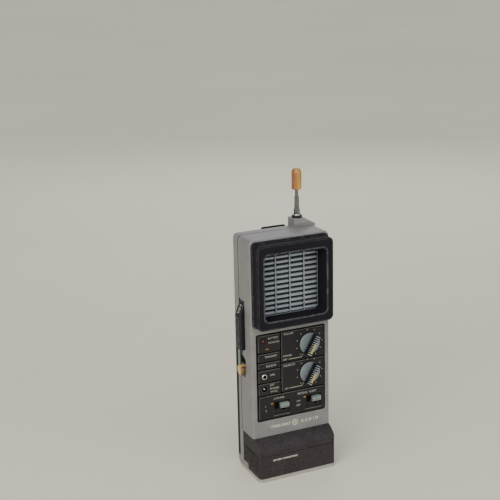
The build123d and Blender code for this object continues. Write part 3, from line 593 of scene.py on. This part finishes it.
def lettering(bm, text, x, z, height, y_front, thick, spread=1.0, bold=0.0):
    """Raised capitals facing -Y, starting at x and centred on z; spread widens the gaps between letters."""
    flat = flat_letters(text, spread, bold)
    left = min(v.co.x for v in flat.vertices)
    scale = height / max(v.co.y for v in flat.vertices)
    vertices_before = len(bm.verts)
    bm.from_mesh(flat)
    bpy.data.meshes.remove(flat)
    bm.verts.ensure_lookup_table()
    letters = bm.verts[vertices_before:]
    for v in letters:
        v.co = Vector(((v.co.x - left) * scale, 0.0, v.co.y * scale - height / 2))
    fresh = set(letters)
    faces = [f for f in bm.faces if f.verts[0] in fresh]
    grown = bmesh.ops.extrude_face_region(bm, geom=faces)["geom"]
    raised = [g for g in grown if isinstance(g, bmesh.types.BMVert)]
    bmesh.ops.translate(bm, vec=(0.0, -thick, 0.0), verts=raised)
    bmesh.ops.translate(bm, vec=(x, y_front + thick, z), verts=letters + raised)


# ---------------------------------------------------------------- control panel

PANEL_Y = box_mm("control_panel")[0][1]
CASE_Y = box_mm("front_shell")[0][1]
DOOR_Y = box_mm("battery_door")[0][1]
GROOVE_Y = PANEL_Y + 0.7    # floor of the grooves between the panel's tiles
WELL_Y = PANEL_Y + 1.5      # floor of the slide switches' wells
INK = 0.07                  # how far printed ink stands out

# text, x of its left end, z of its middle, height
PANEL_WORDS = [
    ("BATTERY", -23.8, 140.0, 1.8), ("MONITOR", -23.6, 135.6, 1.7),
    ("TRANSMIT", -27.8, 121.9, 1.9), ("RECEIVE", -26.4, 112.5, 2.0),
    ("EAR", -22.2, 103.1, 1.9),
    ("EXT", -22.6, 92.9, 1.8), ("POWER", -22.6, 89.2, 1.9), ("9V DC", -22.0, 86.0, 1.8),
    ("VOLUME", -7.9, 141.2, 1.85), ("POWER", -8.2, 119.4, 1.8), ("OFF", -8.4, 115.8, 1.7),
    ("SQUELCH", -8.2, 109.6, 1.95), ("OFF", -7.2, 86.0, 1.6),
    ("CHANNEL", -19.2, 78.3, 1.75), ("RECEIVE  ALERT", 6.6, 78.3, 2.0),
    ("1", -28.0, 71.6, 1.9), ("2", -28.0, 67.3, 1.9),
    ("ON", 5.4, 71.0, 1.8), ("OFF", 4.8, 66.6, 1.8),
]
# from each knob's off position to its word
LEAD_LINES = [
    [(-2.6, 115.6), (10.9, 115.6), (12.7, 118.4)],
    [(-2.4, 86.2), (10.9, 86.2), (12.7, 88.9)],
]
# painted highlight along the lower edge of each switch well
WELL_EDGE_HIGHLIGHTS = [(-19.6, -2.4, 60.6), (14.6, 31.8, 60.8)]    # left and right end, z
SLIDE_DOTS = [(-21.0, 73.6), (14.0, 73.8)]
SLIDER_CENTRES = [middle("channel_slider"), middle("alert_slider")]
# left, right, low and high side of each raised tile of the panel
TILES = [(-34.6, -11.4, 126.2, 143.6), (-34.6, -11.4, 117.0, 125.2), (-34.6, -11.4, 109.6, 116.0),
         (-34.6, -11.4, 96.2, 108.6), (-34.6, -11.4, 83.2, 95.2), (-10.4, 35.2, 113.2, 143.6),
         (-10.4, 35.2, 83.2, 112.2), (-34.6, 35.2, 58.6, 82.2)]
TILE_GROOVE = 1.0
TICK_RADIUS = 13.6
TICK_HALF_LENGTH = 0.6
TICK_WIDTH = 0.6
TICK_COUNT = 10
TICK_FIRST = 225.0    # degrees clockwise from twelve o'clock
TICK_SPAN = 285.0
LEAD_WIDTH = 0.55
SLOT_WIDTH = 0.5
DOT_HALF = (1.2, 0.6)


def panel_print():
    """Words, tick rings, lead lines and amber marks printed on the control panel, and a painted highlight
    along the lower edge of each switch well.
    """
    words = bmesh.new()
    for text, x, z, height in PANEL_WORDS:
        lettering(words, text, x, z, height, PANEL_Y - INK, INK)
    add_piece("panel_words", words, cream_ink, "case")

    lines = bmesh.new()
    for points in LEAD_LINES:
        stroke(lines, points, LEAD_WIDTH, PANEL_Y - INK, PANEL_Y)
    for cx, cz in KNOB_CENTRES:
        for k in range(TICK_COUNT):
            clock = math.radians(TICK_FIRST + TICK_SPAN * k / (TICK_COUNT - 1))
            out = Vector((math.sin(clock), math.cos(clock)))
            middle = Vector((cx, cz)) + out * TICK_RADIUS
            ends = [middle - out * TICK_HALF_LENGTH, middle + out * TICK_HALF_LENGTH]
            stroke(lines, ends, TICK_WIDTH, PANEL_Y - INK, PANEL_Y)
    add_piece("panel_lines", lines, tick_ink, "case")

    edge_highlights = bmesh.new()
    for x0, x1, z in WELL_EDGE_HIGHLIGHTS:
        stroke(edge_highlights, [(x0, z), (x1, z)], SLOT_WIDTH, PANEL_Y - INK, PANEL_Y)
    add_piece("well_edge_highlights", edge_highlights, highlight_grey, "case")

    dots = bmesh.new()
    half_w, half_h = DOT_HALF
    for x, z in SLIDE_DOTS:
        dot = rounded(x - half_w, x + half_w, z - half_h, z + half_h, 0.5)
        plate(dots, dot, PANEL_Y - INK, PANEL_Y)
    add_piece("switch_marks", dots, mark_paint, "case")


def panel_grooves():
    """Painted shade at the bottom of the grooves, and a painted highlight along the left and upper rim of
    each tile.
    """
    grooves = bmesh.new()
    rim_highlights = bmesh.new()
    mid = TILE_GROOVE / 2    # middle of the groove outside a tile, and of the rim inside it
    rim_end = 1.2
    for x0, x1, z0, z1 in TILES:
        ring = [(x0 - mid, z0 - mid), (x0 - mid, z1 + mid), (x1 + mid, z1 + mid), (x1 + mid, z0 - mid)]
        for a, b in zip(ring, ring[1:] + ring[:1]):
            stroke(grooves, [a, b], TILE_GROOVE - 0.04, GROOVE_Y - 0.12, GROOVE_Y + 0.05)
        rim = [(x0 + mid, z0 + rim_end), (x0 + mid, z1 - mid), (x1 - rim_end, z1 - mid)]
        stroke(rim_highlights, rim, 0.32, PANEL_Y - 0.04, PANEL_Y + 0.04)
    add_piece("panel_grooves", grooves, painted_shade_black, "case")
    add_piece("panel_rim_highlights", rim_highlights, highlight_grey, "case")


def switch_wells():
    """Black plates on the floor of each switch well, to the left and right of the slider's stem: painted
    shade round the slider.
    """
    bm = bmesh.new()
    stem_half_w = 2.3
    for x, z in SLIDER_CENTRES:
        for x0, x1 in ((x - 9.6, x - stem_half_w), (x + stem_half_w, x + 5.9)):
            plate(bm, rounded(x0, x1, z - 3.4, z + 3.6, 0.6), WELL_Y - 0.1, WELL_Y + 0.02)
    add_piece("switch_well_shade", bm, painted_shade_black, "case")


def lamp_trim():
    """Dark ring pressed round the red lamp, and a slim frame round the amber one."""
    x, z = middle("battery_lamp")
    ring = bmesh.new()
    profile = [(1.95, 0.0), (1.95, 0.30), (2.3, 0.45), (2.8, 0.40), (3.0, 0.0)]
    lathe(ring, profile, (x, PANEL_Y, z), (0, -1, 0), 40)
    add_piece("battery_lamp_ring", ring, grip_black, "case")
    (x0, _, z0), (x1, _, z1) = box_mm("signal_lamp")
    trim = bmesh.new()
    edge, play = 0.7, 0.12
    outer = rounded(x0 - edge, x1 + edge, z0 - edge, z1 + edge, 0.6)
    hole = rounded(x0 - play, x1 + play, z0 - play, z1 + play, 0.15)
    frame_plate(trim, outer, hole, PANEL_Y - 0.3, PANEL_Y)
    add_piece("signal_lamp_frame", trim, grip_black, "case")


# ---------------------------------------------------------------- knobs

GRIP_TILT = 30.0      # degrees clockwise from upright, with the knobs at rest
GRIP_HALF_W = 2.15
GRIP_HALF_L = 10.3
RIB_COUNT = 10
RIB_PITCH = 2.1
RIB_THICK = 0.62
RIB_DEPTH = 1.6       # how far each bright rib reaches down the sides of the bar
RIB_PROUD = 0.25      # how far it stands out from the bar's front
NOTCH_DEPTH = 1.1
POINTER = (-0.1, 1.4, -7.8, 2.2)    # left, right, low and high side, with the grip upright


def comb_outline():
    """Outline of the grip bar seen from the front, notched between the ribs, in (x, z)."""
    w, h, r = GRIP_HALF_W, GRIP_HALF_L, 0.4
    floor_x = w - NOTCH_DEPTH
    mouth = (RIB_PITCH - RIB_THICK) / 2 - 0.1
    root = mouth * 0.7
    notches = [RIB_PITCH * (k - (RIB_COUNT - 2) / 2) for k in range(RIB_COUNT - 1)]
    points = [(-w + r, h), (w - r, h), (w, h - r)]
    for z in reversed(notches):
        points += [(w, z + mouth), (floor_x, z + root), (floor_x, z - root), (w, z - mouth)]
    points += [(w, -h + r), (w - r, -h), (-w + r, -h), (-w, -h + r)]
    for z in notches:
        points += [(-w, z - mouth), (-floor_x, z - root), (-floor_x, z + root), (-w, z + mouth)]
    points.append((-w, h - r))
    return points


def turned_by(outline, cx, cz):
    """The outline tilted as the grip bars are and moved to the knob's centre."""
    angle = math.radians(GRIP_TILT)
    c, s = math.cos(angle), math.sin(angle)
    return [(cx + x * c + z * s, cz - x * s + z * c) for x, z in outline]


def grip(name, body, cad_node, centre):
    """Black finger bar with bright ribs wrapped round its front and sides, and a yellow pointer."""
    (_, front, _), (_, back, _) = box_mm(cad_node)
    bar = bmesh.new()
    plate(bar, turned_by(comb_outline(), *centre), front + RIB_PROUD, back, bevel=0.1)
    add_piece(name + "_bar", bar, grip_black, body, replaces=(cad_node,))
    ribs = bmesh.new()
    side = GRIP_HALF_W + 0.04
    half = RIB_THICK / 2
    for k in range(RIB_COUNT):
        z = RIB_PITCH * (k - (RIB_COUNT - 1) / 2)
        rib = [(-side, z - half), (side, z - half), (side, z + half), (-side, z + half)]
        plate(ribs, turned_by(rib, *centre), front, front + RIB_DEPTH, bevel=0.08)
    add_piece(name + "_ribs", ribs, rib_silver, body)
    line = bmesh.new()
    plate(line, turned_by(rounded(*POINTER, 0.3), *centre), front - INK, front + 0.3)
    add_piece(name + "_pointer", line, yellow_paint, body)


# ---------------------------------------------------------------- speaker grille

GRILLE_SIZE = (59.0, 58.0)    # width and height taken by the bars
GRILLE_COLUMNS = 4
GRILLE_ROWS = 12
GRILLE_BORDER = 1.2
BAR_HALF_H = 1.22
BAR_GAP_X = 1.25              # from a bar's end to the middle of the gap beside it
LINK_HALF_H = 0.55
LINK_DROP = 0.2
LINK_LAP = 0.5
POST_HALF_W = 0.5


def within(low, high, margin, radius):
    """A rounded (x, z) rectangle inside a node's box, margin away from its sides."""
    return rounded(low[0] + margin, high[0] - margin, low[2] + margin, high[2] - margin, radius)


def grille():
    """Four columns of flat-faced bars with rounded rims, tied together by sunken links and posts."""
    low, high = box_mm("speaker_grille")
    width, height = GRILLE_SIZE
    mid_x, mid_z = (low[0] + high[0]) / 2, (low[2] + high[2]) / 2
    foot_z, top_z = mid_z - height / 2, mid_z + height / 2
    front, back = low[1], high[1]
    pitch_x, pitch_z = width / GRILLE_COLUMNS, height / GRILLE_ROWS
    gaps = [mid_x + (column - GRILLE_COLUMNS / 2) * pitch_x for column in range(GRILLE_COLUMNS + 1)]
    bm = bmesh.new()
    for row in range(GRILLE_ROWS):
        z = foot_z + (row + 0.5) * pitch_z
        for left, right in zip(gaps, gaps[1:]):
            bar = rounded(left + BAR_GAP_X, right - BAR_GAP_X, z - BAR_HALF_H, z + BAR_HALF_H, 0.7)
            plate(bm, bar, front, back - 0.4, bevel=0.5)
        half_w, link_z = BAR_GAP_X + LINK_LAP, z - LINK_DROP
        for x in gaps:
            link = rounded(x - half_w, x + half_w, link_z - LINK_HALF_H, link_z + LINK_HALF_H, 0.3)
            plate(bm, link, front + 1.2, back - 0.5, bevel=0.2)
    for gap in gaps[1:-1]:
        x = gap + BAR_GAP_X - POST_HALF_W
        post = rounded(x - POST_HALF_W, x + POST_HALF_W, foot_z, top_z, 0.2)
        plate(bm, post, front + 0.8, back - 0.45, bevel=0.15)
    border = within(low, high, GRILLE_BORDER, 1.0)
    frame_plate(bm, within(low, high, 0.0, 1.6), border, back - 0.5, back)
    add_piece("grille_lattice", bm, grille_silver, "case", replaces=("speaker_grille",))


def grille_shade():
    """Black sheet behind the lattice: painted shade in the gaps between the bars."""
    low, high = box_mm("speaker_grille")
    back = high[1]
    bm = bmesh.new()
    plate(bm, within(low, high, GRILLE_BORDER + 0.1, 1.0), back - 0.35, back - 0.1)
    add_piece("grille_shade_sheet", bm, grille_shade_black, "case")


# ---------------------------------------------------------------- case, door and key details

# the cord in the seam is a dark strip of painted shade
SEAM_Y = 13.5           # where the two shells meet
SEAM_HALF_WIDTH = 0.75
SEAM_SUNK = 0.2         # from the case's face down to the cord
SEAM_THICK = 0.35
SEAM_CORNER = 4.1


def seam_path():
    """Up the right side, over the top and down the left side of the case, as (x, z) points."""
    low, high = box_mm("front_shell")
    left, right, top = low[0] + SEAM_SUNK, high[0] - SEAM_SUNK, high[2] - SEAM_SUNK
    foot = low[2] + 0.2
    below = low[2] - 8.0    # the outline's lower corners are left out
    over = [point for point in rounded(left, right, below, top, SEAM_CORNER, 6) if point[1] > low[2]]
    return [(right, foot)] + over + [(left, foot)]


def seam_shade_strip():
    """Dark strip of painted shade lying in the V groove where the two shells meet."""
    bm = bmesh.new()
    path = seam_path()
    rings = []
    for line in (path, inset_open(path, SEAM_THICK)):
        for y in (SEAM_Y - SEAM_HALF_WIDTH, SEAM_Y + SEAM_HALF_WIDTH):
            rings.append(ring_at(bm, line, y))
    outer_front, outer_back, inner_front, inner_back = rings
    around = [outer_front, outer_back, inner_back, inner_front, outer_front]
    for a, b in zip(around, around[1:]):
        for i in range(len(path) - 1):
            bm.faces.new((a[i], a[i + 1], b[i + 1], b[i]))
    for end in (0, -1):
        bm.faces.new([ring[end] for ring in around[:4]])
    add_piece("seam_shade_strip", bm, painted_shade_black, "case")


def inset_open(path, amount):
    """The open path moved to its left, which is towards the middle of the case."""
    moved = []
    for i, point in enumerate(path):
        along = (Vector(path[min(i + 1, len(path) - 1)]) - Vector(path[max(i - 1, 0)])).normalized()
        moved.append(tuple(Vector(point) + Vector((-along.y, along.x)) * amount))
    return moved


WORDS_Z = 49.6
WORDS_HEIGHT = 2.9
WORDS_RISE = 0.28
WORDS_BOLD = 0.03


def case_words():
    """Plain raised words under the control panel, to the left and right of two plain rings."""
    bm = bmesh.new()
    # text, x of its left end, letter spacing
    for text, x, spread in (("TWO-WAY", -22.6, 1.06), ("RADIO", 10.4, 1.75)):
        lettering(bm, text, x, WORDS_Z, WORDS_HEIGHT, CASE_Y - WORDS_RISE, WORDS_RISE, spread, WORDS_BOLD)
    for inner, outer in ((2.45, 3.15), (0.8, 1.5)):
        profile = [(inner, 0.0), (inner, WORDS_RISE), (outer, WORDS_RISE), (outer, 0.0)]
        lathe(bm, profile, (3.4, CASE_Y, WORDS_Z), (0, -1, 0))
    add_piece("case_words", bm, case_ink, "case")


def door_words():
    """Small words printed on the battery door."""
    bm = bmesh.new()
    lettering(bm, "BATTERY COMPARTMENT", -26.6, 21.2, 1.6, DOOR_Y - INK, INK, bold=WORDS_BOLD)
    add_piece("door_words", bm, case_ink, "door")


CASE_LEFT = box_mm("rear_shell")[0][0]
TALK_LOW_Z = box_mm("talk_bar")[0][2]
CALL_HIGH_Z = box_mm("call_button")[1][2]
CHANNEL_DEPTH = 1.2                # of the channel in the case's left side
CHANNEL_YS = (1.5, 12.9)
CHANNEL_CUT_ZS = (115.0, 119.5)    # the slanted lower end of the bright plate, front and back
REAR_YS = (14.4, 18.6)


def side_track():
    """Painted highlight and shadow on the case's left side: a bright plate for the lit floor of the side
    channel, cut off at a slant over a dark plate for the call button's shadow, and a bright plate behind
    the channel.
    """
    floor_x = CASE_LEFT + CHANNEL_DEPTH
    front, back = CHANNEL_YS
    front_cut, back_cut = CHANNEL_CUT_ZS
    top, foot = TALK_LOW_Z + 1.2, CALL_HIGH_Z - 0.8
    bright = [(front, top), (back, top), (back, back_cut), (front, front_cut)]
    side_plate("track_highlight_plate", bright, floor_x, track_highlight_blue)
    dark = [(front, front_cut - 0.2), (back, back_cut - 0.2), (back, foot), (front, foot)]
    side_plate("track_shadow_plate", dark, floor_x, painted_shade_black)
    front, back = REAR_YS
    top, foot = TALK_LOW_Z + 3.0, 109.0
    rear = [(front, top), (back, top), (back, foot), (front, foot)]
    side_plate("track_rear_highlight_plate", rear, CASE_LEFT + 0.02, track_highlight_blue)


def side_plate(name, outline, floor_x, material, thick=0.12):
    """A (y, z) outline made into a thin plate lying on the left side of the case at floor_x."""
    bm = bmesh.new()
    rings = [[bm.verts.new((x, y, z)) for y, z in outline] for x in (floor_x, floor_x - thick)]
    skin(bm, rings)
    bm.faces.new(rings[0])
    bm.faces.new(rings[1])
    add_piece(name, bm, material, "case")


SLOPE_TOP_X = -40.8            # the talk bar's slope starts here and ends on its outer face
SLOPE_MID_Y = 7.1
SLOPE_DROP = 13.0
MARK_DEPTHS = (-0.12, 0.06)    # how far the marks stand out of the slope and reach into it
MARK_RING = 1.35


def talk_marks():
    """White marks moulded on the sloped top of the talk bar: a bar, a ring and an angle."""
    bm = bmesh.new()
    # drawn flat first: x runs across the slope, and z down it from its middle
    stroke(bm, [(-1.7, -3.6), (1.7, -3.6)], 1.2, *MARK_DEPTHS)
    turns = [math.radians(30 * k) for k in range(13)]
    stroke(bm, [(MARK_RING * math.cos(a), MARK_RING * math.sin(a)) for a in turns], 0.75, *MARK_DEPTHS)
    stroke(bm, [(1.7, 3.1), (-1.5, 3.1), (-1.5, 4.9)], 1.0, *MARK_DEPTHS)
    low, high = box_mm("talk_bar")
    top = Vector((SLOPE_TOP_X, SLOPE_MID_Y, high[2] - 2.0))
    foot = Vector((low[0], SLOPE_MID_Y, top.z - SLOPE_DROP))
    down = (foot - top).normalized()
    into = Vector((-down.z, 0.0, down.x))
    turn = Matrix(((0.0, -1.0, 0.0), into, down)).transposed().to_4x4()
    bmesh.ops.transform(bm, matrix=Matrix.Translation((top + foot) / 2) @ turn, verts=bm.verts)
    add_piece("talk_marks", bm, cream_ink, "talk_key")


# ---------------------------------------------------------------- floor, lights, camera

FLOOR_SIZE = 60.0
SENSOR_WIDTH = 36.0
AIM = (0.0, 0.0, 0.12)    # the middle of the object, where the lights point


def floor():
    """Plain pale floor, large enough to fill the photograph's view."""
    s = Surface("floor_paint", Specular_IOR_Level=0.15)
    cloud = s.noise(900.0, 4.0)
    s.paint(s.mix(s.band(cloud, 0.3, 0.7), (0.77, 0.755, 0.62), (0.80, 0.785, 0.65)))
    s.gloss(cloud, 0.85, 0.95)
    bpy.ops.mesh.primitive_plane_add(size=FLOOR_SIZE, location=(0.0, 0.0, 0.0))
    plane = bpy.context.active_object
    plane.name = "floor"
    plane.data.materials.append(s.material)


def dark_card(name, place, size):
    """A dark upright card facing the object, seen only in its reflections."""
    s = Surface(name + "_felt", Specular_IOR_Level=0.1)
    s.paint((0.02, 0.02, 0.022))
    bpy.ops.mesh.primitive_plane_add(size=1.0, location=place)
    card = bpy.context.active_object
    card.name = name
    card.scale = (size[0], size[1], 1.0)
    aim = Vector((0.02, 0.01, place[2]))
    card.rotation_euler = (aim - Vector(place)).to_track_quat("Z", "Y").to_euler()
    card.data.materials.append(s.material)
    for ray in ("camera", "diffuse", "transmission", "shadow", "volume_scatter"):
        setattr(card, "visible_" + ray, False)


def softbox(name, place, size, power, colour=(1.0, 1.0, 1.0)):
    """A soft rectangular light pointed at the object."""
    data = bpy.data.lights.new(name, "AREA")
    data.shape = "RECTANGLE"
    data.size, data.size_y = size
    data.energy = power
    data.color = colour
    lamp = bpy.data.objects.new(name, data)
    lamp.location = place
    lamp.rotation_euler = (Vector(AIM) - Vector(place)).to_track_quat("-Z", "Y").to_euler()
    lamp.visible_camera = False
    bpy.context.scene.collection.objects.link(lamp)


def wide_sun(name, towards, strength, spread, colour):
    """Light from far off, as even over the far floor as near the object; spread softens its shadows."""
    data = bpy.data.lights.new(name, "SUN")
    data.energy = strength
    data.angle = math.radians(spread)
    data.color = colour
    lamp = bpy.data.objects.new(name, data)
    lamp.rotation_euler = Vector(towards).to_track_quat("-Z", "Y").to_euler()
    bpy.context.scene.collection.objects.link(lamp)


def lights():
    """One wide sun, three soft lights, dark cards for the reflections and a dim sky."""
    wide_sun("key_sun", (0.45, 0.55, -1.0), 1.7, 70.0, (1.0, 0.98, 0.93))
    softbox("key_left", (-1.15, -0.85, 0.75), (0.7, 0.7), 8.0, (1.0, 0.985, 0.96))
    softbox("fill_right", (0.9, -1.4, 0.55), (0.9, 0.9), 5.0, (0.97, 0.985, 1.0))
    softbox("back", (0.7, 1.2, 0.9), (1.0, 0.8), 4.0)
    dark_card("card_back_left", (-0.75, 0.45, 0.3), (0.55, 0.9))
    dark_card("card_back_right", (0.75, 0.25, 0.3), (0.6, 0.9))
    dark_card("card_front", (-0.25, -0.62, 0.2), (0.22, 0.7))
    world = bpy.data.worlds.new("studio")
    world.use_nodes = True
    background = world.node_tree.nodes["Background"]
    background.inputs["Color"].default_value = (0.95, 0.96, 1.0, 1.0)
    background.inputs["Strength"].default_value = 0.32
    bpy.context.scene.world = world


CAMERA_PLACE = Vector((-0.4381, -0.8886, 0.4991))
CAMERA_RIGHT = Vector((0.90758, -0.41928, -0.02256))
CAMERA_UP = Vector((0.13339, 0.23695, 0.96232))
CAMERA_LENS = 79.37


def camera():
    """The photograph's view: from the front left and a little above."""
    data = bpy.data.cameras.new("camera")
    data.sensor_width = SENSOR_WIDTH
    data.lens = CAMERA_LENS
    data.clip_start, data.clip_end = 0.05, 200.0
    obj = bpy.data.objects.new("camera", data)
    back = CAMERA_RIGHT.cross(CAMERA_UP)
    turn = Matrix((CAMERA_RIGHT, CAMERA_UP, back)).transposed()
    obj.matrix_world = Matrix.Translation(CAMERA_PLACE) @ turn.to_4x4()
    bpy.context.scene.collection.objects.link(obj)
    bpy.context.scene.camera = obj


finish_nodes()
panel_print()
panel_grooves()
switch_wells()
lamp_trim()
grip("volume_grip", "volume_control", "volume_grip", KNOB_CENTRES[0])
grip("squelch_grip", "squelch_control", "squelch_grip", KNOB_CENTRES[1])
grille()
grille_shade()
seam_shade_strip()
case_words()
door_words()
side_track()
talk_marks()
floor()
lights()
camera()
